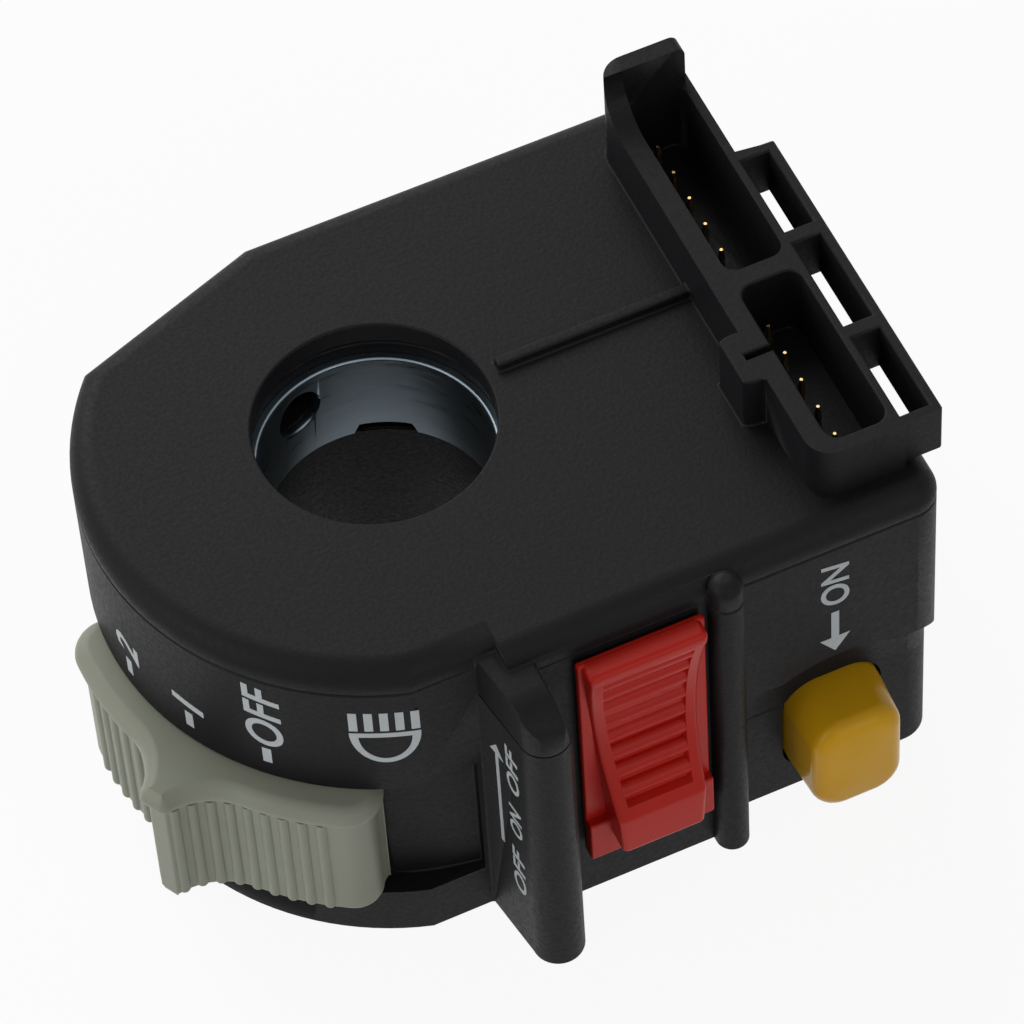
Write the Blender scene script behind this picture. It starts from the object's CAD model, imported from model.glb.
import math

import bmesh
import bpy
from mathutils import Matrix, Vector
from mathutils.bvhtree import BVHTree
from mathutils.geometry import intersect_line_line_2d
from mathutils.kdtree import KDTree


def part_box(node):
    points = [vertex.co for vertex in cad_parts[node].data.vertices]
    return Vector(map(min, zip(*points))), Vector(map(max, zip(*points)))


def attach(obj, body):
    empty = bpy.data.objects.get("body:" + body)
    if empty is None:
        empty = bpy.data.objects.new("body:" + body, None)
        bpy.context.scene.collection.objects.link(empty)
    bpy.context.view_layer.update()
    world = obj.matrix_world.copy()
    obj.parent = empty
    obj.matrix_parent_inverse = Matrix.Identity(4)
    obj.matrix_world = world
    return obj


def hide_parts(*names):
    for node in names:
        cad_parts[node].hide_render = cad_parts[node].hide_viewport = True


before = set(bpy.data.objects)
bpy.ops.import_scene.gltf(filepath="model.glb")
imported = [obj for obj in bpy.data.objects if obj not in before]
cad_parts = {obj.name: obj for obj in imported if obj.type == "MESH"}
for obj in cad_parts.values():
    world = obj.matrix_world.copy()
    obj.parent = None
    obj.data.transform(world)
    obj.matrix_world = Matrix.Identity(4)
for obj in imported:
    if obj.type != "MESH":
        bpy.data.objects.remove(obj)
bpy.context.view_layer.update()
mm = 0.001
print("frame loaded:", len(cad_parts), "nodes")


def linearHex(hexText):  # sRGB hex to the linear colour that shaders take
    parts = [int(hexText[i:i + 2], 16) / 255 for i in (1, 3, 5)]
    return [c / 12.92 if c <= 0.04045 else ((c + 0.055) / 1.055) ** 2.4 for c in parts] + [1.0]


def addNode(tree, kind, settings=None, inputs=None):  # one node with its settings, values and links
    node = tree.nodes.new(kind)
    for key, value in (settings or {}).items():
        setattr(node, key, value)
    for key, value in (inputs or {}).items():
        if isinstance(value, bpy.types.NodeSocket):
            tree.links.new(value, node.inputs[key])
        else:
            node.inputs[key].default_value = value
    return node


def newMaterial(name):
    material = bpy.data.materials.new(name)
    material.use_nodes = True
    tree = material.node_tree
    return material, tree, tree.nodes["Principled BSDF"]


def nodeBox(node):  # a CAD node's lowest and highest corners in mm
    low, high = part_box(node)
    return Vector(low) / mm, Vector(high) / mm


def arc(centre, radius, start, stop, step=0.25):  # plan points in mm, angles in degrees
    count = max(2, math.ceil(abs(math.radians(stop - start)) * radius / step))
    turns = [math.radians(start + (stop - start) * i / count) for i in range(count + 1)]
    return [Vector((centre[0] + radius * math.cos(t), centre[1] + radius * math.sin(t))) for t in turns]


quarterTurn = [math.radians(90 * i / 6) for i in range(7)]  # steps round an edge


def ray(radius, degrees):
    return Vector((radius * math.cos(math.radians(degrees)), radius * math.sin(math.radians(degrees))))


def loft(shape, loops):  # skins closed loops of equal count, given in mm, and caps both ends
    rings = [[shape.verts.new(point * mm) for point in loop] for loop in loops]
    for lower, upper in zip(rings, rings[1:]):
        for i in range(len(lower)):
            shape.faces.new((lower[i - 1], lower[i], upper[i], upper[i - 1]))
    shape.faces.new(rings[0])
    shape.faces.new(rings[-1])


def addBlock(shape, low, high, edge, turned=Matrix.Identity(3)):  # a box in mm with rounded edges
    size = Matrix.Diagonal((*(high - low), 1))
    place = Matrix.Scale(mm, 4) @ turned.to_4x4() @ Matrix.Translation((low + high) / 2) @ size
    corners = bmesh.ops.create_cube(shape, size=1, matrix=place)["verts"]
    edges = list({e for vert in corners for e in vert.link_edges})
    bmesh.ops.bevel(shape, geom=edges, offset=edge * mm, segments=3, profile=0.5, affect="EDGES")


def meshOf(shape, name):
    bmesh.ops.recalc_face_normals(shape, faces=shape.faces)
    mesh = bpy.data.meshes.new(name)
    shape.to_mesh(mesh)
    shape.free()
    return mesh


def startTree(name, sizes):  # a Geometry Nodes tree with one named input for each size
    tree = bpy.data.node_groups.new(name, "GeometryNodeTree")
    tree.interface.new_socket("Geometry", in_out="INPUT", socket_type="NodeSocketGeometry")
    for key, value in sizes.items():
        kind = "NodeSocketInt" if isinstance(value, int) else "NodeSocketFloat"
        tree.interface.new_socket(key, in_out="INPUT", socket_type=kind)
    tree.interface.new_socket("Geometry", in_out="OUTPUT", socket_type="NodeSocketGeometry")
    return tree, addNode(tree, "NodeGroupInput").outputs


def endTree(tree, instances, material):
    real = addNode(tree, "GeometryNodeRealizeInstances", inputs={"Geometry": instances})
    coloured = addNode(tree, "GeometryNodeSetMaterial", inputs={
        "Geometry": real.outputs["Geometry"], "Material": material})
    addNode(tree, "NodeGroupOutput", inputs={"Geometry": coloured.outputs["Geometry"]})


def meshFromTree(tree, sizes, base):  # lengths in sizes are mm, whole numbers are counts
    carrier = bpy.data.objects.new("carrier", base)
    bpy.context.scene.collection.objects.link(carrier)
    grow = carrier.modifiers.new("grow", "NODES")
    grow.node_group = tree
    for item in tree.interface.items_tree:
        if item.in_out == "INPUT" and item.name in sizes:
            value = sizes[item.name]
            grow[item.identifier] = value if isinstance(value, int) else value * mm
    mesh = bpy.data.meshes.new_from_object(carrier.evaluated_get(bpy.context.evaluated_depsgraph_get()))
    carrier.modifiers.remove(grow)
    bpy.data.objects.remove(carrier)
    return mesh


# Camera fitted to the photograph through the bore, the round end and the body's edges
cameraFit = {
    "lens": 220.6, "sensor": 36.0, "azimuth": -21.19, "elevation": 53.99, "roll": 4.17,
    "aim": (0.0, 0.0, 42.4), "right": 12.70, "up": -8.22, "away": 576.98,  # mm from the aim point
}


def placeCamera(fit):
    az, el, roll = (math.radians(fit[k]) for k in ("azimuth", "elevation", "roll"))
    back = Vector((math.sin(az) * math.cos(el), -math.cos(az) * math.cos(el), math.sin(el)))
    level = Vector((math.cos(az), math.sin(az), 0))
    upright = back.cross(level)
    right = level * math.cos(roll) - upright * math.sin(roll)
    up = upright * math.cos(roll) + level * math.sin(roll)
    data = bpy.data.cameras.new("photoCamera")
    data.lens = fit["lens"]
    data.sensor_width = fit["sensor"]
    data.clip_start, data.clip_end = 0.01, 10
    camera = bpy.data.objects.new("photoCamera", data)
    bpy.context.scene.collection.objects.link(camera)
    place = Vector(fit["aim"]) + right * fit["right"] + up * fit["up"] + back * fit["away"]
    turn = Matrix((right, up, back)).transposed().to_4x4()
    camera.matrix_world = Matrix.Translation(place * mm) @ turn
    bpy.context.scene.camera = camera


placeCamera(cameraFit)


def objectCoordinates(tree):
    return addNode(tree, "ShaderNodeTexCoord").outputs["Object"]


plainShine = 0.5
milkyDepth = 0.8  # mm that light reaches into a milky plastic


# Moulded plastic: a spark-eroded mould leaves a fine pebble grain and faint cloudy tone
def mouldedPlastic(name, look):
    material, tree, shader = newMaterial(name)
    place = objectCoordinates(tree)
    cloud = addNode(tree, "ShaderNodeTexNoise", inputs={
        "Vector": place, "Scale": 1 / (look["cloudMm"] * mm), "Detail": 4.0, "Roughness": 0.55})
    grain = addNode(tree, "ShaderNodeTexNoise", inputs={
        "Vector": place, "Scale": 1 / (look["grainMm"] * mm), "Detail": 2.0, "Roughness": 0.5})
    tone = addNode(tree, "ShaderNodeMix", {"data_type": "RGBA"}, {
        "Factor": cloud.outputs["Fac"], 6: linearHex(look["dark"]), 7: linearHex(look["light"])})
    gloss = addNode(tree, "ShaderNodeMapRange", inputs={
        "Value": grain.outputs["Fac"], "From Min": 0.3, "From Max": 0.7,
        "To Min": look["rough"] - look["roughSpread"], "To Max": look["rough"] + look["roughSpread"]})
    bump = addNode(tree, "ShaderNodeBump", inputs={
        "Height": grain.outputs["Fac"], "Strength": look["bump"], "Distance": look["grainDepthMm"] * mm})
    tree.links.new(tone.outputs[2], shader.inputs["Base Color"])
    tree.links.new(gloss.outputs["Result"], shader.inputs["Roughness"])
    tree.links.new(bump.outputs["Normal"], shader.inputs["Normal"])
    shader.inputs["IOR"].default_value = look["ior"]
    shader.inputs["Specular IOR Level"].default_value = look.get("shine", plainShine)
    shader.inputs["Subsurface Weight"].default_value = look.get("milky", 0.0)
    shader.inputs["Subsurface Scale"].default_value = milkyDepth * mm
    return material


# Metal: plating follows the drawn strip below it, so its streaks run round the bore
def platedMetal(name, look):
    material, tree, shader = newMaterial(name)
    place = objectCoordinates(tree)
    stretch = addNode(tree, "ShaderNodeMapping", inputs={"Vector": place, "Scale": look["streak"]})
    streaks = addNode(tree, "ShaderNodeTexNoise", inputs={
        "Vector": stretch.outputs["Vector"], "Scale": 1 / (look["streakMm"] * mm), "Detail": 5.0,
        "Roughness": 0.6})
    tone = addNode(tree, "ShaderNodeMix", {"data_type": "RGBA"}, {
        "Factor": streaks.outputs["Fac"], 6: linearHex(look["dark"]), 7: linearHex(look["light"])})
    gloss = addNode(tree, "ShaderNodeMapRange", inputs={
        "Value": streaks.outputs["Fac"], "From Min": 0.3, "From Max": 0.7,
        "To Min": look["rough"] - look["roughSpread"], "To Max": look["rough"] + look["roughSpread"]})
    bump = addNode(tree, "ShaderNodeBump", inputs={
        "Height": streaks.outputs["Fac"], "Strength": 0.15, "Distance": 0.01 * mm})
    tree.links.new(tone.outputs[2], shader.inputs["Base Color"])
    tree.links.new(gloss.outputs["Result"], shader.inputs["Roughness"])
    tree.links.new(bump.outputs["Normal"], shader.inputs["Normal"])
    shader.inputs["Metallic"].default_value = 1.0
    return material


looks = {
    # glass-filled nylon off a textured mould: deep charcoal, broad soft sheen, fine pebble
    "glassFilledNylon": {"dark": "#131315", "light": "#18181a", "cloudMm": 9, "grainMm": 0.42,
                         "grainDepthMm": 0.05, "bump": 0.55, "rough": 0.5, "roughSpread": 0.07, "ior": 1.53,
                         "shine": 0.1},
    # acetal, tinted grey-green ivory: smooth satin with a little depth to the colour
    "tintedAcetal": {"dark": "#8c8f80", "light": "#969989", "cloudMm": 7, "grainMm": 0.3,
                     "grainDepthMm": 0.02, "bump": 0.2, "rough": 0.42, "roughSpread": 0.05, "ior": 1.48,
                     "milky": 0.06, "shine": 0.25},
    # red ABS: satin moulding, a touch deeper where it is thick
    "redAbs": {"dark": "#bb2015", "light": "#c92719", "cloudMm": 6, "grainMm": 0.3, "grainDepthMm": 0.02,
               "bump": 0.2, "rough": 0.36, "roughSpread": 0.05, "ior": 1.54, "milky": 0.04, "shine": 0.15},
    # yellow ABS off a polished mould: smooth, hardly any grain
    "yellowAbs": {"dark": "#e4aa18", "light": "#edb41e", "cloudMm": 6, "grainMm": 0.5, "grainDepthMm": 0.006,
                  "bump": 0.1, "rough": 0.22, "roughSpread": 0.03, "ior": 1.54, "milky": 0.05, "shine": 0.12},
    # natural nylon, as moulded: milky off-white
    "naturalNylon": {"dark": "#dcd9cc", "light": "#e6e3d8", "cloudMm": 6, "grainMm": 0.4,
                     "grainDepthMm": 0.02, "bump": 0.2, "rough": 0.45, "roughSpread": 0.05, "ior": 1.53,
                     "milky": 0.1},
    # glass-epoxy laminate under green resist: slight weave shows as a soft mottle
    "glassEpoxy": {"dark": "#1d4a2b", "light": "#2a6038", "cloudMm": 0.8, "grainMm": 0.4,
                   "grainDepthMm": 0.02, "bump": 0.25, "rough": 0.35, "roughSpread": 0.05, "ior": 1.55},
    # pale grey pad-print ink: thin, matt, a little uneven
    "padPrintInk": {"dark": "#b4babd", "light": "#c4cacd", "cloudMm": 1.2, "grainMm": 0.25,
                    "grainDepthMm": 0.01, "bump": 0.2, "rough": 0.6, "roughSpread": 0.05, "ior": 1.5},
}
plastics = {name: mouldedPlastic(name, look) for name, look in looks.items()}
metals = {
    # zinc-plated steel strip: dulled blue-grey with faint drawn streaks round the band
    "zincPlatedSteel": platedMetal("zincPlatedSteel", {
        "dark": "#66727b", "light": "#7f8b93", "streak": (1, 1, 8), "streakMm": 5, "rough": 0.33,
        "roughSpread": 0.08}),
    # tinned brass pins: warm pale metal, slightly dulled
    "tinnedBrass": platedMetal("tinnedBrass", {
        "dark": "#b89a5c", "light": "#d8c48e", "streak": (1, 1, 0.3), "streakMm": 0.6, "rough": 0.3,
        "roughSpread": 0.06}),
    # spring steel wire: darker and duller than the plating
    "springSteel": platedMetal("springSteel", {
        "dark": "#8d9093", "light": "#b6b9bb", "streak": (1, 1, 1), "streakMm": 0.5, "rough": 0.34,
        "roughSpread": 0.06}),
}
print("materials made:", len(plastics) + len(metals))


def finishPiece(mesh, name, material, body, replaced=(), sharp=32):
    mesh.materials.clear()
    mesh.materials.append(material)
    mesh.polygons.foreach_set("use_smooth", [True] * len(mesh.polygons))
    mesh.set_sharp_from_angle(angle=math.radians(sharp))
    piece = bpy.data.objects.new(name, mesh)
    bpy.context.scene.collection.objects.link(piece)
    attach(piece, body)
    if replaced:
        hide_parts(*replaced)
    return piece


def addWeightedNormals(piece):  # flat faces stay flat beside their rounded edges
    shading = piece.modifiers.new("faceShading", "WEIGHTED_NORMAL")
    shading.keep_sharp = True
    shading.weight = 80


# Limits for rounding edges: mm and square mm, "flat" in degrees, shares of the radius
roundingLimits = {
    "join": 0.002, "lift": 0.05, "sight": 200, "turnedArea": 0.008, "flat": 0.6, "markStep": 0.2,
    "wildShare": 2.5, "nearShare": 2,
}


def mergedNode(node):  # a copy of a CAD node's mesh with its loose triangles joined
    shape = bmesh.new()
    shape.from_mesh(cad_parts[node].data)
    bmesh.ops.remove_doubles(shape, verts=shape.verts, dist=roundingLimits["join"] * mm)
    return shape


wholeShape = bmesh.new()
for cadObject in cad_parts.values():
    wholeShape.from_mesh(cadObject.data)
openAir = BVHTree.FromBMesh(wholeShape)
wholeShape.free()


def facesOpenAir(edge):  # nothing of the part lies outwards of the edge
    way = (edge.link_faces[0].normal + edge.link_faces[1].normal).normalized()
    start = (edge.verts[0].co + edge.verts[1].co) / 2 + way * roundingLimits["lift"] * mm
    return openAir.ray_cast(start, way, roundingLimits["sight"] * mm)[0] is None


def edgeChains(shape, limit):  # outside edges in runs, so that a run is rounded from end to end or not at all
    sharp = [e for e in shape.edges
             if len(e.link_faces) == 2 and e.calc_face_angle(0) > limit and facesOpenAir(e)]
    chosen, left, chains = set(sharp), set(sharp), []
    for first in sharp:
        if first not in left:
            continue
        left.discard(first)
        chain, queue = [], [first]
        while queue:
            edge = queue.pop()
            chain.append(edge)
            for vert in edge.verts:
                following = [e for e in vert.link_edges if e in chosen and e is not edge]
                if len(following) == 1 and following[0] in left:
                    left.discard(following[0])
                    queue.append(following[0])
        chains.append(chain)
    return chains


def crossedSpots(shape):  # where the outline of a face crosses itself, so that part of the face turns over
    turned = []
    for corners in shape.calc_loop_triangles():
        a, b, c = (corner.vert.co for corner in corners)
        face, across = corners[0].face, (b - a).cross(c - a)
        if across.dot(face.normal) < 0 and across.length > roundingLimits["turnedArea"] * mm * mm:
            turned.append(face)
    spots = []
    for face in dict.fromkeys(turned):
        points = [vert.co for vert in face.verts]
        drop = max(range(3), key=lambda k: abs(face.normal[k]))
        flat = [Vector([p[k] for k in range(3) if k != drop]) for p in points]
        found, count = [], len(points)
        for i in range(count):
            for j in range(i + 2, count - (i == 0)):
                hit = intersect_line_line_2d(flat[i], flat[i + 1], flat[j], flat[(j + 1) % count])
                if hit:
                    share = (hit - flat[i]).length / max((flat[i + 1] - flat[i]).length, 1e-9)
                    found.append(points[i].lerp(points[i + 1], share))
        spots += found or [p.copy() for p in points]
    return spots


def roundedTry(node, edge, dropped):  # one try without the dropped runs, and the runs that went wrong in it
    shape = mergedNode(node)
    bmesh.ops.dissolve_limit(shape, angle_limit=math.radians(roundingLimits["flat"]), verts=shape.verts,
                             edges=shape.edges)
    shape.normal_update()
    chains = edgeChains(shape, math.radians(edge["angle"]))
    kept = [(i, e) for i, chain in enumerate(chains) if i not in dropped for e in chain]
    marks = []
    for i, e in kept:
        start, end = (vert.co.copy() for vert in e.verts)
        steps = max(1, math.ceil((end - start).length / (roundingLimits["markStep"] * mm)))
        marks += [(start.lerp(end, s / steps), i) for s in range(steps + 1)]
    lookup = KDTree(len(marks))
    for k, (place, i) in enumerate(marks):
        lookup.insert(place, k)
    lookup.balance()
    width = edge["mm"] * mm
    made = bmesh.ops.bevel(shape, geom=[e for i, e in kept], offset=width, offset_type="OFFSET",
                           segments=edge["steps"], profile=0.5, affect="EDGES", material=-1)["verts"]
    shape.normal_update()
    wild = {vert for vert in made if lookup.find(vert.co)[2] > roundingLimits["wildShare"] * width}
    spots = [e.other_vert(vert).co for vert in wild for e in vert.link_edges
             if e.other_vert(vert) not in wild]
    wrong = set()
    for spot in spots or crossedSpots(shape):
        near = lookup.find_range(spot, roundingLimits["nearShare"] * width) or [lookup.find(spot)]
        wrong |= {marks[k][1] for place, k, gap in near}
    return shape, wrong


# A CAD node as it comes from the tool, with its outside edges broken by a small radius
def softenedNode(node, name, material, body, slot, edge):
    dropped, wrong = set(), {None}
    while wrong:
        shape, wrong = roundedTry(node, edge, dropped)
        dropped |= wrong
        if wrong:
            shape.free()
    print(name, "runs left sharp:", len(dropped))
    addWeightedNormals(finishPiece(meshOf(shape, name), name, material, body, [node], sharp=40))


# Housing mouldings, clamp band and cover screws
housingEdge = {"mm": 0.25, "steps": 2, "angle": 35}
softenedNodes = [
    ("connector_cover", "connectorCoverMoulding", plastics["glassFilledNylon"], "housing", "housing_plastic",
     housingEdge),
    ("middle_housing", "middleHousingMoulding", plastics["glassFilledNylon"], "housing", "housing_plastic",
     housingEdge),
    ("grip_side_cover", "gripSideCoverMoulding", plastics["glassFilledNylon"], "housing", "housing_plastic",
     housingEdge),
    ("clamp_band", "clampBandStrip", metals["zincPlatedSteel"], "housing", "zinc_steel",
     {"mm": 0.28, "steps": 3, "angle": 40}),
    ("cover_screws", "coverScrewSet", metals["zincPlatedSteel"], "housing", "zinc_steel",
     {"mm": 0.1, "steps": 2, "angle": 50}),
]
for softened in softenedNodes:
    softenedNode(*softened)


# Light lever: a blunt nose between two hollow ribbed flanks, round-ended pads, a lip along the top
leverSizes = {
    "middle": -151.5, "half": 37.0,  # degrees about the bar
    "inner": 26.3, "pad": 31.4, "nose": 35.7, "noseHalf": 2.5, "noseRound": 1.0, "padStart": 12.0,
    "endRound": 3.5, "topRound": 1.5, "lowRound": 0.7, "lip": 1.9, "lipStep": 0.12,
    "faceDepth": 0.75, "undercut": 0.25,
    "armInner": 21.8, "armWidth": 4.4, "armHeight": 6.0, "armLap": 0.8, "armEdge": 0.3,
    "ribStart": 2.6, "ribPitch": 1.8, "ribSink": 0.25, "ribFoot": 0.8,
}
ribSizes = {"Rib radius": 0.6, "Rib length": 13.6, "Ribs": 9}


def leverSide(sizes):  # half of the plan, from the nose's middle round to the back's middle
    tip = ray(sizes["nose"], sizes["noseHalf"])
    foot = ray(sizes["pad"], sizes["padStart"])
    out = foot.normalized()
    hollow = (tip - foot).length_squared / (2 * (tip - foot).dot(out))
    centre = foot + out * hollow
    bend = Vector((tip.x - sizes["noseRound"], 0))
    bend.y = centre.y - math.sqrt((hollow + sizes["noseRound"]) ** 2 - (bend.x - centre.x) ** 2)
    turn = math.degrees(math.atan2(centre.y - bend.y, centre.x - bend.x))
    ring = sizes["pad"] - sizes["endRound"]
    endTurn = sizes["half"] - math.degrees(math.asin(sizes["endRound"] / ring))
    points = [Vector((tip.x, bend.y * i / 4)) for i in range(4)]
    points += arc(bend, sizes["noseRound"], 0, turn)
    points += arc(centre, hollow, turn + 180, 180 + sizes["padStart"])
    points += arc((0, 0), sizes["pad"], sizes["padStart"], endTurn)
    points += arc(ray(ring, endTurn), sizes["endRound"], endTurn, sizes["half"] + 90)
    points += arc((0, 0), sizes["inner"], sizes["half"], 0)
    return [p for i, p in enumerate(points) if i == 0 or (p - points[i - 1]).length > 0.02]


def insetLoop(points, depth, sizes):  # moves a closed plan inwards, less at the narrow nose and at the back
    moved = []
    for i, point in enumerate(points):
        along = (points[(i + 1) % len(points)] - points[i - 1]).normalized()
        reach = point.length
        room = 0.9 * sizes["noseRound"] + 0.5 * (sizes["nose"] - reach)
        if reach < sizes["inner"] + sizes["undercut"]:
            room = sizes["undercut"]
        moved.append(point - Vector((along.y, -along.x)) * min(depth, room))
    return moved


def pointAlong(path, distance):
    for first, second in zip(path, path[1:]):
        step = (second - first).length
        if distance <= step:
            return first.lerp(second, distance / step)
        distance -= step
    return path[-1]


def ribTree(sizes, material):  # round-ended ribs spaced evenly along each path of the base mesh
    tree, given = startTree("leverRibs", sizes)
    path = addNode(tree, "GeometryNodeMeshToCurve", inputs={"Mesh": given["Geometry"]})
    places = addNode(tree, "GeometryNodeResampleCurve", {"mode": "COUNT"}, {
        "Curve": path.outputs["Curve"], "Count": given["Ribs"]})
    bar = addNode(tree, "GeometryNodeMeshCylinder", inputs={
        "Vertices": 20, "Radius": given["Rib radius"], "Depth": given["Rib length"]})
    half = addNode(tree, "ShaderNodeMath", {"operation": "MULTIPLY"}, {0: given["Rib length"], 1: -0.5})
    drop = addNode(tree, "ShaderNodeCombineXYZ", inputs={"Z": half.outputs[0]})
    ball = addNode(tree, "GeometryNodeMeshUVSphere", inputs={
        "Segments": 20, "Rings": 10, "Radius": given["Rib radius"]})
    foot = addNode(tree, "GeometryNodeTransform", inputs={
        "Geometry": ball.outputs["Mesh"], "Translation": drop.outputs["Vector"]})
    rib = addNode(tree, "GeometryNodeJoinGeometry")
    for part in (bar.outputs["Mesh"], foot.outputs["Geometry"]):
        tree.links.new(part, rib.inputs["Geometry"])
    row = addNode(tree, "GeometryNodeInstanceOnPoints", inputs={
        "Points": places.outputs["Curve"], "Instance": rib.outputs["Geometry"]})
    endTree(tree, row.outputs["Instances"], material)
    return tree


def leverRibs(sizes, side, footZ, turned):
    path = insetLoop(side, sizes["faceDepth"] + sizes["ribSink"], sizes)
    steps = 4 * (ribSizes["Ribs"] - 1)
    spots = [pointAlong(path, sizes["ribStart"] + sizes["ribPitch"] * i / 4) for i in range(steps + 1)]
    middleZ = footZ + ribSizes["Rib length"] / 2
    verts = [turned @ Vector((p.x, s * p.y, middleZ)) * mm for s in (1, -1) for p in spots]
    edges = [(k + i, k + i + 1) for k in (0, steps + 1) for i in range(steps)]
    base = bpy.data.meshes.new("leverRibPath")
    base.from_pydata(verts, edges, [])
    return meshFromTree(ribTree(ribSizes, plastics["tintedAcetal"]), ribSizes, base)


def leverMesh(sizes):
    low, high = nodeBox("light_lever")
    side = leverSide(sizes)
    plan = side + [Vector((p.x, -p.y)) for p in reversed(side[1:-1])]
    deep, top, foot, lipZ = sizes["faceDepth"], sizes["topRound"], sizes["lowRound"], high.z - sizes["lip"]
    levels = [(low.z + foot * (1 - math.cos(a)), deep + foot * (1 - math.sin(a))) for a in quarterTurn]
    step = sizes["lipStep"]
    levels += [(lipZ - step, deep), (lipZ, 0.75 * deep), (lipZ + step, 0.1 * deep)]
    levels += [(high.z - top * (1 - math.sin(a)), top * (1 - math.cos(a))) for a in quarterTurn]
    turned = Matrix.Rotation(math.radians(sizes["middle"]), 3, "Z")
    shape = bmesh.new()
    loft(shape, [[turned @ p.to_3d() + Vector((0, 0, z)) for p in insetLoop(plan, depth, sizes)]
                 for z, depth in levels])
    armHalf = Vector((0, sizes["armWidth"] / 2, sizes["armHeight"] / 2))
    middle = Vector((0, 0, (low.z + high.z) / 2))
    addBlock(shape, middle - armHalf + Vector((sizes["armInner"], 0, 0)),
             middle + armHalf + Vector((sizes["inner"] + sizes["armLap"], 0, 0)), sizes["armEdge"], turned)
    shape.from_mesh(leverRibs(sizes, side, low.z + sizes["ribFoot"], turned))
    return meshOf(shape, "lightLeverMoulding")


addWeightedNormals(finishPiece(leverMesh(leverSizes), "lightLeverMoulding", plastics["tintedAcetal"],
                               "light_lever", ["light_lever"]))
print("light lever made")

# Red switch: a plate with a lip, a thumb piece hollowed along its length, and a ridged field in the hollow
switchSizes = {
    "plateT": 0.8, "plateBack": -29.9, "lipOut": 1.7, "lipH": 5.5, "blockEdge": 0.25,
    "stemW": 4.6, "stemH": 10.0, "stemDrop": 2.0,
    "tailUp": 3.2, "tailOut": 4.4, "tailH": 5.2, "tailHalf": 4.2, "topOut": 2.6, "topH": 1.2, "topHalf": 6.0,
    "hollow": 2.2, "edge": 0.55, "rim": 1.3, "fieldDepth": 0.8, "fieldWall": 0.15, "root": 0.4,
    "fieldSteps": 60, "ridgeSink": 0.22, "ridgeEnds": 1.1,
}
ridgeSizes = {"Ridge radius": 0.98, "Ridges": 8}


def hollowCircle(sizes, low, high):  # centre (y, z) and radius of the thumb hollow, seen from the side
    top = Vector((sizes["plateBack"] - sizes["topOut"], high.z - sizes["topH"]))
    foot = Vector((sizes["plateBack"] - sizes["tailOut"], low.z + sizes["tailUp"] + sizes["tailH"]))
    chord = foot - top
    radius = chord.length_squared / 8 / sizes["hollow"] + sizes["hollow"] / 2
    out = Vector((chord.y, -chord.x)).normalized()
    return (top + foot) / 2 + out * (radius - sizes["hollow"]), radius, top, foot


def thumbFront(z, circle):  # y of the thumb piece's front at a height
    centre, radius, top, foot = circle
    if z >= top.y or z <= foot.y:
        return top.x if z >= top.y else foot.x
    return centre.x + math.sqrt(radius ** 2 - (z - centre.y) ** 2)


def thumbHalf(z, sizes, low, high):  # half width of the thumb piece at a height
    share = (z - low.z - sizes["tailUp"]) / (high.z - low.z - sizes["tailUp"])
    return sizes["tailHalf"] + (sizes["topHalf"] - sizes["tailHalf"]) * share


def thumbLoop(x, z, half, front, depth, sizes):  # one level section: rounded corners, rim, field, back
    edge, back = sizes["edge"], sizes["plateBack"] - sizes["root"]
    field = half - sizes["rim"]
    side = [(half, back)]
    side += [(half - edge + edge * math.cos(a), front + edge * (1 - math.sin(a)))
             for a in quarterTurn]
    side += [(field, front), (field - sizes["fieldWall"], front + depth), (field / 2, front + depth)]
    return [Vector((x + u, y, z)) for u, y in side] + [Vector((x - u, y, z)) for u, y in reversed(side)]


def thumbLevels(sizes, low, high, circle):  # height, inset of the ends, depth of the field
    edge, floor, rim = sizes["edge"], low.z + sizes["tailUp"], sizes["rim"]
    top, foot = circle[2], circle[3]
    fieldLow, fieldHigh, wall = foot.y + rim, top.y - rim / 2, sizes["fieldWall"]
    levels = [(floor + edge * (1 - math.cos(a)), edge * (1 - math.sin(a)), 0) for a in quarterTurn]
    levels += [(foot.y + (fieldLow - foot.y) * i / 4, 0, 0) for i in range(5)]
    inside = sizes["fieldSteps"]
    levels += [(fieldLow + wall + (fieldHigh - fieldLow - 2 * wall) * i / inside, 0, sizes["fieldDepth"])
               for i in range(inside + 1)]
    levels += [(fieldHigh + (top.y - fieldHigh) * i / 4, 0, 0) for i in range(5)]
    levels += [(high.z - edge * (1 - math.sin(a)), edge * (1 - math.cos(a)), 0) for a in quarterTurn]
    return levels, fieldLow, fieldHigh


def ridgeTree(sizes, material):  # round ridges across each place of the path, as wide as its spread
    tree, given = startTree("switchRidges", sizes)
    path = addNode(tree, "GeometryNodeMeshToCurve", inputs={"Mesh": given["Geometry"]})
    places = addNode(tree, "GeometryNodeResampleCurve", {"mode": "COUNT"}, {
        "Curve": path.outputs["Curve"], "Count": given["Ridges"]})
    bar = addNode(tree, "GeometryNodeMeshCylinder", inputs={
        "Vertices": 48, "Radius": given["Ridge radius"], "Depth": mm})
    across = addNode(tree, "GeometryNodeTransform", inputs={
        "Geometry": bar.outputs["Mesh"], "Rotation": (0, math.pi / 2, 0)})
    spread = addNode(tree, "GeometryNodeInputNamedAttribute", {"data_type": "FLOAT"}, {"Name": "spread"})
    stretch = addNode(tree, "ShaderNodeCombineXYZ", inputs={
        "X": spread.outputs["Attribute"], "Y": 1.0, "Z": 1.0})
    row = addNode(tree, "GeometryNodeInstanceOnPoints", inputs={
        "Points": places.outputs["Curve"], "Instance": across.outputs["Geometry"],
        "Scale": stretch.outputs["Vector"]})
    endTree(tree, row.outputs["Instances"], material)
    return tree


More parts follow.
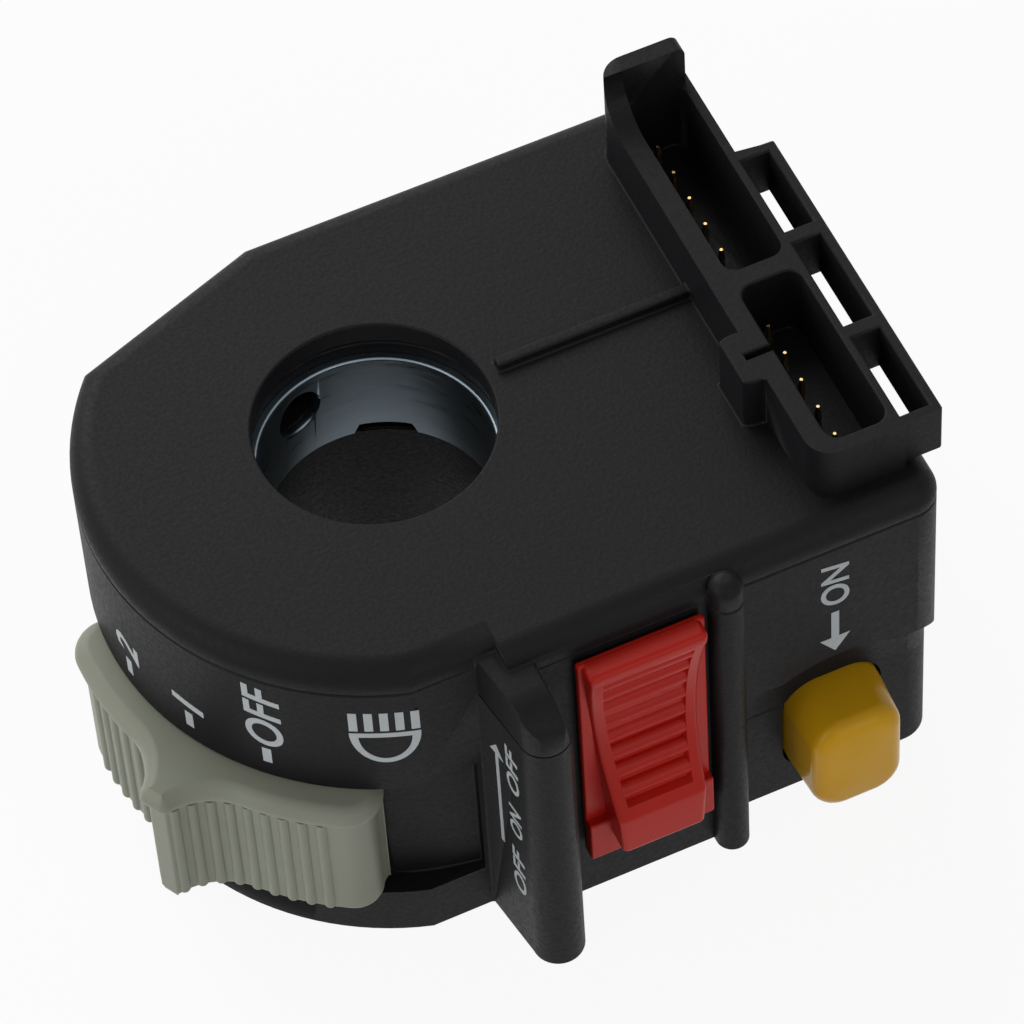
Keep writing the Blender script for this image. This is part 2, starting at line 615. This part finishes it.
def switchRidges(sizes, low, high, circle, fieldLow, fieldHigh):
    count, deep = ridgeSizes["Ridges"], sizes["fieldDepth"] + sizes["ridgeSink"]
    pitch = (fieldHigh - fieldLow) / count
    steps = 6 * count
    heights = [fieldLow + pitch / 2 + (count - 1) * pitch * i / steps for i in range(steps + 1)]
    base = bpy.data.meshes.new("switchRidgePath")
    x = (low.x + high.x) / 2
    base.from_pydata([Vector((x, thumbFront(z, circle) + deep, z)) * mm for z in heights],
                     [(i, i + 1) for i in range(steps)], [])
    widths = [2 * (thumbHalf(z, sizes, low, high) - sizes["ridgeEnds"]) for z in heights]
    base.attributes.new("spread", "FLOAT", "POINT").data.foreach_set("value", widths)
    return meshFromTree(ridgeTree(ridgeSizes, plastics["redAbs"]), ridgeSizes, base)


def switchMesh(sizes):
    low, high = nodeBox("stop_slider")
    circle = hollowCircle(sizes, low, high)
    x, back, stemBack = (low.x + high.x) / 2, sizes["plateBack"], high.y
    stemZ = (low.z + high.z) / 2 - sizes["stemDrop"]
    shape = bmesh.new()
    addBlock(shape, Vector((low.x, back - sizes["plateT"], low.z)), Vector((high.x, back, high.z)),
             sizes["blockEdge"])
    addBlock(shape, Vector((low.x, back - sizes["lipOut"], low.z)),
             Vector((high.x, back, low.z + sizes["lipH"])), sizes["blockEdge"])
    addBlock(shape, Vector((x - sizes["stemW"] / 2, back - sizes["root"], stemZ - sizes["stemH"] / 2)),
             Vector((x + sizes["stemW"] / 2, stemBack, stemZ + sizes["stemH"] / 2)), sizes["blockEdge"])
    levels, fieldLow, fieldHigh = thumbLevels(sizes, low, high, circle)
    loops = []
    for z, inset, depth in levels:
        half = thumbHalf(z, sizes, low, high) - inset
        loops.append(thumbLoop(x, z, half, thumbFront(z, circle) + inset, depth, sizes))
    loft(shape, loops)
    shape.from_mesh(switchRidges(sizes, low, high, circle, fieldLow, fieldHigh))
    return meshOf(shape, "stopSliderMoulding")


addWeightedNormals(finishPiece(switchMesh(switchSizes), "stopSliderMoulding", plastics["redAbs"],
                               "stop_slider", ["stop_slider"], sharp=40))
print("red switch made")

# Push button: a softly crowned oblong cap on a shank, with a flange that stops behind the wall
buttonSizes = {
    "baseW": 9.8, "baseL": 13.2, "baseRound": 3.4, "faceW": 9.3, "faceL": 12.8, "faceRound": 3.2, "edge": 1.7,
    "crown": 0.25, "crownShares": (0.85, 0.65, 0.4, 0.15), "flangeT": 1.5, "flangeRound": 0.8, "shank": 2.8,
    "further": 1.3,
}


def oblong(width, length, radius, steps=12):  # rounded rectangle, centred
    points = []
    for k, (sx, sz) in enumerate(((1, 1), (-1, 1), (-1, -1), (1, -1))):
        corner = (sx * (width / 2 - radius), sz * (length / 2 - radius))
        points += [Vector(corner) + ray(radius, 90 * (k + i / steps)) for i in range(steps + 1)]
    return points


def buttonMesh(sizes):
    low, high = nodeBox("push_button")
    low.y -= sizes["further"]  # the photo's button stands out a little more than the solid
    x, z = (low.x + high.x) / 2, (low.z + high.z) / 2
    flangeW, stop = high.x - low.x, high.y - sizes["flangeT"]
    base = (sizes["baseW"], sizes["baseL"], sizes["baseRound"])
    edge, crown, faceRound = sizes["edge"], sizes["crown"], sizes["faceRound"]
    levels = [(high.y, flangeW, sizes["baseL"], sizes["flangeRound"])]
    levels += [(stop, flangeW, sizes["baseL"], sizes["flangeRound"]), (stop, *base)]
    levels.append((stop - sizes["shank"], *base))
    for a in (math.radians(90 * i / 10) for i in range(11)):
        inset = edge * (1 - math.cos(a))
        levels.append((low.y + crown + edge * (1 - math.sin(a)), sizes["faceW"] - 2 * inset,
                       sizes["faceL"] - 2 * inset, faceRound - inset))
    loops = [[Vector((x + p.x, y, z + p.y)) for p in oblong(w, l, r)] for y, w, l, r in levels]
    rim = oblong(sizes["faceW"] - 2 * edge, sizes["faceL"] - 2 * edge, faceRound - edge)
    for share in sizes["crownShares"]:
        loops.append([Vector((x + p.x * share, low.y + crown * share ** 2, z + p.y * share)) for p in rim])
    shape = bmesh.new()
    loft(shape, loops)
    return meshOf(shape, "pushButtonCap")


addWeightedNormals(finishPiece(buttonMesh(buttonSizes), "pushButtonCap", plastics["yellowAbs"], "push_button",
                               ["push_button"], sharp=50))
print("push button made")

# Printed marks: generic words, dashes, arrows and a headlamp sign, each a thin film of ink on its wall
markSizes = {
    "bandRadius": 28.3, "turns": (-170, -153, -136),
    "words": (("2", 2.6), ("1", 1.5), ("OFF", 9.2)), "cap": 3.7,  # word and its length
    "dashFrom": 26.2, "dashLong": 2.2, "dashWide": 0.9, "wordFrom": 29.0,
    "lampTurn": -112.9, "lampFoot": 28.6, "lampHalf": 3.3, "lampH": 4.7, "line": 0.65, "flankLine": 0.845,
    "lampSteps": 24, "rayWide": 0.8,
    "rayLong": 2.8, "rays": 5, "raySpread": 2.85, "rayGap": 0.35,
    "finRoot": (-2.4, -25.0), "finTip": (-1.1, -33.65), "finLines": (4.6, 7.2), "finCap": 2.0,
    "finArrow": (0, 16, 0.5, 1.6), "finArrowFoot": 14,  # start, tip, width, head
    "finWords": (("OFF", 7.0, 8.5), ("ON", 4.6, 18.0), ("OFF", 7.0, 25.2)),  # word, length, foot
    "panelY": -29.6, "panelX": 32.6, "panelCap": 2.9, "panelWordLong": 6.4, "panelWordFoot": 30.6,
    "panelArrow": (6.2, 0, 0.8, 2.2), "panelArrowFoot": 23.2,
    "sunk": 0.03, "proud": 0.04, "cut": 0.5,
}

letterStyle = {"lean": 0.15, "bold": 0.018}  # shares of the letter size


def flatText(words, length, cap):  # letters in mm from u 0, centred on v, leaning a little
    curve = bpy.data.curves.new("markText", "FONT")
    curve.body = words
    curve.shear = letterStyle["lean"]
    curve.offset = letterStyle["bold"]
    carrier = bpy.data.objects.new("markText", curve)
    bpy.context.scene.collection.objects.link(carrier)
    mesh = bpy.data.meshes.new_from_object(carrier.evaluated_get(bpy.context.evaluated_depsgraph_get()))
    bpy.data.objects.remove(carrier)
    flat = bmesh.new()
    flat.from_mesh(mesh)
    bmesh.ops.remove_doubles(flat, verts=flat.verts, dist=1e-5)
    us, vs = ([vert.co[k] for vert in flat.verts] for k in (0, 1))
    for vert in flat.verts:
        vert.co = ((vert.co.x - min(us)) / (max(us) - min(us)) * length,
                   ((vert.co.y - min(vs)) / (max(vs) - min(vs)) - 0.5) * cap, 0)
    return flat


def flatShape(outlines):  # polygons in mm
    flat = bmesh.new()
    for outline in outlines:
        flat.faces.new([flat.verts.new((u, v, 0)) for u, v in outline])
    return flat


def bar(u0, u1, v0, v1):
    return [(u0, v0), (u1, v0), (u1, v1), (u0, v1)]


def arrow(start, stop, wide, head):  # a line with a pointed end at stop
    neck = stop - head * math.copysign(1, stop - start)
    return [bar(start, neck, -wide / 2, wide / 2), [(neck, -head * 0.7), (stop, 0), (neck, head * 0.7)]]


def lampSign(sizes):  # a lamp seen from the side, its rays upwards
    half, tall, thick, steps = (sizes[k] for k in ("lampHalf", "lampH", "line", "lampSteps"))
    outer, inner = [], []
    for a in (math.radians(180 + 180 * i / steps) for i in range(steps + 1)):
        outer.append((half * math.cos(a), tall * (1 + math.sin(a))))
        inner.append(((half - sizes["flankLine"]) * math.cos(a),
                      tall - thick + (tall - 2 * thick) * math.sin(a)))
    outlines = [[outer[i], outer[i + 1], inner[i + 1], inner[i]] for i in range(steps)]
    outlines.append([outer[-1], outer[0], inner[0], inner[-1]])
    foot, half = tall + sizes["rayGap"], sizes["rayWide"] / 2
    for i in range(sizes["rays"]):
        u = sizes["raySpread"] * (2 * i / (sizes["rays"] - 1) - 1)
        outlines.append(bar(u - half, u + half, foot, foot + sizes["rayLong"]))
    return outlines


def addMark(shape, flat, onto, sizes):  # cuts a flat mark into strips, thickens it and lays it on its wall
    for axis in (Vector((1, 0, 0)), Vector((0, 1, 0))):
        spots = [vert.co.dot(axis) for vert in flat.verts]
        for k in range(math.ceil(min(spots) / sizes["cut"]), math.floor(max(spots) / sizes["cut"]) + 1):
            everything = flat.verts[:] + flat.edges[:] + flat.faces[:]
            bmesh.ops.bisect_plane(flat, geom=everything, plane_co=axis * k * sizes["cut"], plane_no=axis)
    raised = bmesh.ops.extrude_face_region(flat, geom=flat.faces[:], use_keep_orig=True)["geom"]
    tops = {item for item in raised if isinstance(item, bmesh.types.BMVert)}
    for vert in flat.verts:
        lift = sizes["proud"] if vert in tops else -sizes["sunk"]
        vert.co = onto(vert.co.x, vert.co.y, lift) * mm
    film = bpy.data.meshes.new("film")
    flat.to_mesh(film)
    flat.free()
    shape.from_mesh(film)


def marksMesh(sizes):
    shape = bmesh.new()
    radius = sizes["bandRadius"]

    def onBand(turn, z, w):
        return ray(radius + w, turn).to_3d() + Vector((0, 0, z))

    def alongBar(turn, foot):  # words that run along the bar on the round label band
        return lambda u, v, w: onBand(turn - math.degrees(v / radius), foot + u, w)

    for turn, (words, length) in zip(sizes["turns"], sizes["words"]):
        dash = bar(0, sizes["dashLong"], -sizes["dashWide"] / 2, sizes["dashWide"] / 2)
        addMark(shape, flatShape([dash]), alongBar(turn, sizes["dashFrom"]), sizes)
        addMark(shape, flatText(words, length, sizes["cap"]), alongBar(turn, sizes["wordFrom"]), sizes)

    def roundBar(u, v, w):  # the sign stands upright on the band
        return onBand(sizes["lampTurn"] + math.degrees(u / radius), sizes["lampFoot"] + v, w)

    addMark(shape, flatShape(lampSign(sizes)), roundBar, sizes)
    root, tip = Vector(sizes["finRoot"]), Vector(sizes["finTip"])
    down = (tip - root).normalized()
    out = Vector((down.y, -down.x))

    def onFin(reach, foot):
        return lambda u, v, w: (root + down * (reach - v) + out * w).to_3d() + Vector((0, 0, foot + u))

    near, far = sizes["finLines"]
    addMark(shape, flatShape(arrow(*sizes["finArrow"])), onFin(near, sizes["finArrowFoot"]), sizes)
    for words, length, foot in sizes["finWords"]:
        addMark(shape, flatText(words, length, sizes["finCap"]), onFin(far, foot), sizes)

    def onPanel(foot):
        return lambda u, v, w: Vector((sizes["panelX"] - v, sizes["panelY"] - w, foot + u))

    word = flatText("ON", sizes["panelWordLong"], sizes["panelCap"])
    addMark(shape, word, onPanel(sizes["panelWordFoot"]), sizes)
    addMark(shape, flatShape(arrow(*sizes["panelArrow"])), onPanel(sizes["panelArrowFoot"]), sizes)
    return meshOf(shape, "printedMarks")


finishPiece(marksMesh(markSizes), "printedMarks", plastics["padPrintInk"], "housing")
print("marks made")

# Connector pins: a drawn wire with a coined tip at each place where the board carries one
pinSizes = {"Pin radius": 0.34, "Shaft length": 7.0, "Tip length": 0.9, "Tip radius": 0.16}


def islandBoxes(node):  # corners in m of each separate solid of a CAD node
    shape = mergedNode(node)
    left, boxes = set(shape.verts), []
    while left:
        island, queue = [], [left.pop()]
        while queue:
            vert = queue.pop()
            island.append(vert.co.copy())
            for edge in vert.link_edges:
                other = edge.other_vert(vert)
                if other in left:
                    left.discard(other)
                    queue.append(other)
        boxes.append([Vector((pick(p[k] for p in island) for k in range(3))) for pick in (min, max)])
    shape.free()
    return sorted(boxes, key=lambda box: tuple(box[0]))


def pinTree(sizes, material):  # one pin standing on each point of the base mesh
    tree, given = startTree("connectorPins", sizes)
    shaft = addNode(tree, "GeometryNodeMeshCylinder", inputs={
        "Vertices": 20, "Radius": given["Pin radius"], "Depth": given["Shaft length"]})
    half = addNode(tree, "ShaderNodeMath", {"operation": "MULTIPLY"}, {0: given["Shaft length"], 1: 0.5})
    lift = addNode(tree, "ShaderNodeCombineXYZ", inputs={"Z": half.outputs[0]})
    raised = addNode(tree, "GeometryNodeTransform", inputs={
        "Geometry": shaft.outputs["Mesh"], "Translation": lift.outputs["Vector"]})
    cone = addNode(tree, "GeometryNodeMeshCone", inputs={
        "Vertices": 20, "Radius Top": given["Tip radius"], "Radius Bottom": given["Pin radius"],
        "Depth": given["Tip length"]})
    end = addNode(tree, "ShaderNodeCombineXYZ", inputs={"Z": given["Shaft length"]})
    tip = addNode(tree, "GeometryNodeTransform", inputs={
        "Geometry": cone.outputs["Mesh"], "Translation": end.outputs["Vector"]})
    pin = addNode(tree, "GeometryNodeJoinGeometry")
    for part in (raised.outputs["Geometry"], tip.outputs["Geometry"]):
        tree.links.new(part, pin.inputs["Geometry"])
    row = addNode(tree, "GeometryNodeInstanceOnPoints", inputs={
        "Points": given["Geometry"], "Instance": pin.outputs["Geometry"]})
    endTree(tree, row.outputs["Instances"], material)
    return tree


pinShape = pinTree(pinSizes, metals["tinnedBrass"])
for node, name in (("large_connector_pins", "largePinRow"), ("small_connector_pins", "smallPinRow")):
    boxes = islandBoxes(node)
    base = bpy.data.meshes.new(name + "Places")
    base.from_pydata([((low.x + high.x) / 2, (low.y + high.y) / 2, low.z) for low, high in boxes], [], [])
    height = (boxes[0][1].z - boxes[0][0].z) / mm
    row = meshFromTree(pinShape, {**pinSizes, "Shaft length": height - pinSizes["Tip length"]}, base)
    finishPiece(row, name, metals["tinnedBrass"], "housing", [node])
    print(name, len(boxes), "pins")

nodeFinish = {
    "zincPlatedSteel": ["clamp_screw", "clamp_nut", "light_detent_ball", "stop_detent_ball"],
    "springSteel": ["light_detent_spring", "stop_detent_spring", "start_spring", "push_spring"],
    "tinnedBrass": ["light_wiper", "light_contacts", "stop_wiper", "stop_contacts", "start_bridge",
                    "start_contacts", "push_bridge", "push_contacts"],
    "naturalNylon": ["light_carrier", "stop_foot", "start_carriage", "start_contact_block", "push_stem",
                     "push_guide", "push_contact_block"],
    "glassEpoxy": ["circuit_board", "light_contact_plate", "stop_contact_plate"],
}
for finish, nodes in nodeFinish.items():
    for node in nodes:
        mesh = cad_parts[node].data
        mesh.materials.clear()
        mesh.materials.append(plastics.get(finish) or metals[finish])
print("CAD nodes finished")


# Studio: pale floor that stays white to the camera and keeps a soft shadow, large soft lamps
studio = {
    "floorSize": 3.0, "floorDrop": 0.0001, "floorColour": "#f4f4f4", "whiteShare": 0.92,
    "aim": (8, 0, 25),
    "lamps": [  # name, place in mm round the object, size in m, watts
        ("backPanel", (-80, 520, 480), 0.6, 3.4),
        ("leftPanel", (-620, -60, 300), 0.5, 1.3),
        ("frontPanel", (120, -640, 330), 0.5, 0.8),
    ],
    "worldStrength": 0.18,
}


def seenDirectly(tree):  # 1 where the camera, a reflection or a see-through part looks at the background
    path = addNode(tree, "ShaderNodeLightPath")
    mirrored = addNode(tree, "ShaderNodeMath", {"operation": "MAXIMUM"}, {
        0: path.outputs["Is Glossy Ray"], 1: path.outputs["Is Transmission Ray"]})
    return addNode(tree, "ShaderNodeMath", {"operation": "MAXIMUM"}, {
        0: path.outputs["Is Camera Ray"], 1: mirrored.outputs[0]}).outputs[0]


def buildStudio(sizes):
    scene = bpy.context.scene
    scene.view_settings.view_transform = "Standard"
    world = bpy.data.worlds.new("studioWorld")
    scene.world = world
    world.use_nodes = True
    tree = world.node_tree
    light = tree.nodes["Background"]
    light.inputs["Color"].default_value = linearHex("#ffffff")
    level = addNode(tree, "ShaderNodeMapRange", inputs={
        "Value": seenDirectly(tree), "To Min": sizes["worldStrength"], "To Max": 1.0})
    tree.links.new(level.outputs["Result"], light.inputs["Strength"])

    half, level = sizes["floorSize"] / 2, -sizes["floorDrop"]
    mesh = bpy.data.meshes.new("floor")
    mesh.from_pydata([(x * half, y * half, level) for x, y in ((-1, -1), (1, -1), (1, 1), (-1, 1))], [],
                     [(0, 1, 2, 3)])
    floor = bpy.data.objects.new("floor", mesh)
    scene.collection.objects.link(floor)
    material, tree, shader = newMaterial("studioFloor")
    shader.inputs["Base Color"].default_value = linearHex(sizes["floorColour"])
    shader.inputs["Roughness"].default_value = 0.9
    shader.inputs["Specular IOR Level"].default_value = 0.0
    glow = addNode(tree, "ShaderNodeEmission", inputs={"Color": linearHex("#ffffff"), "Strength": 1.0})
    share = addNode(tree, "ShaderNodeMath", {"operation": "MULTIPLY"}, {
        0: seenDirectly(tree), 1: sizes["whiteShare"]})
    mixed = addNode(tree, "ShaderNodeMixShader", inputs={
        0: share.outputs[0], 1: shader.outputs["BSDF"], 2: glow.outputs["Emission"]})
    tree.links.new(mixed.outputs["Shader"], tree.nodes["Material Output"].inputs["Surface"])
    mesh.materials.append(material)

    aim = Vector(sizes["aim"])
    for name, place, size, watts in sizes["lamps"]:
        data = bpy.data.lights.new(name, "AREA")
        data.shape = "SQUARE"
        data.size = size
        data.energy = watts
        lamp = bpy.data.objects.new(name, data)
        scene.collection.objects.link(lamp)
        lamp.location = Vector(place) * mm
        lamp.rotation_euler = (Vector(place) - aim).to_track_quat("Z", "Y").to_euler()


buildStudio(studio)
print("studio made")
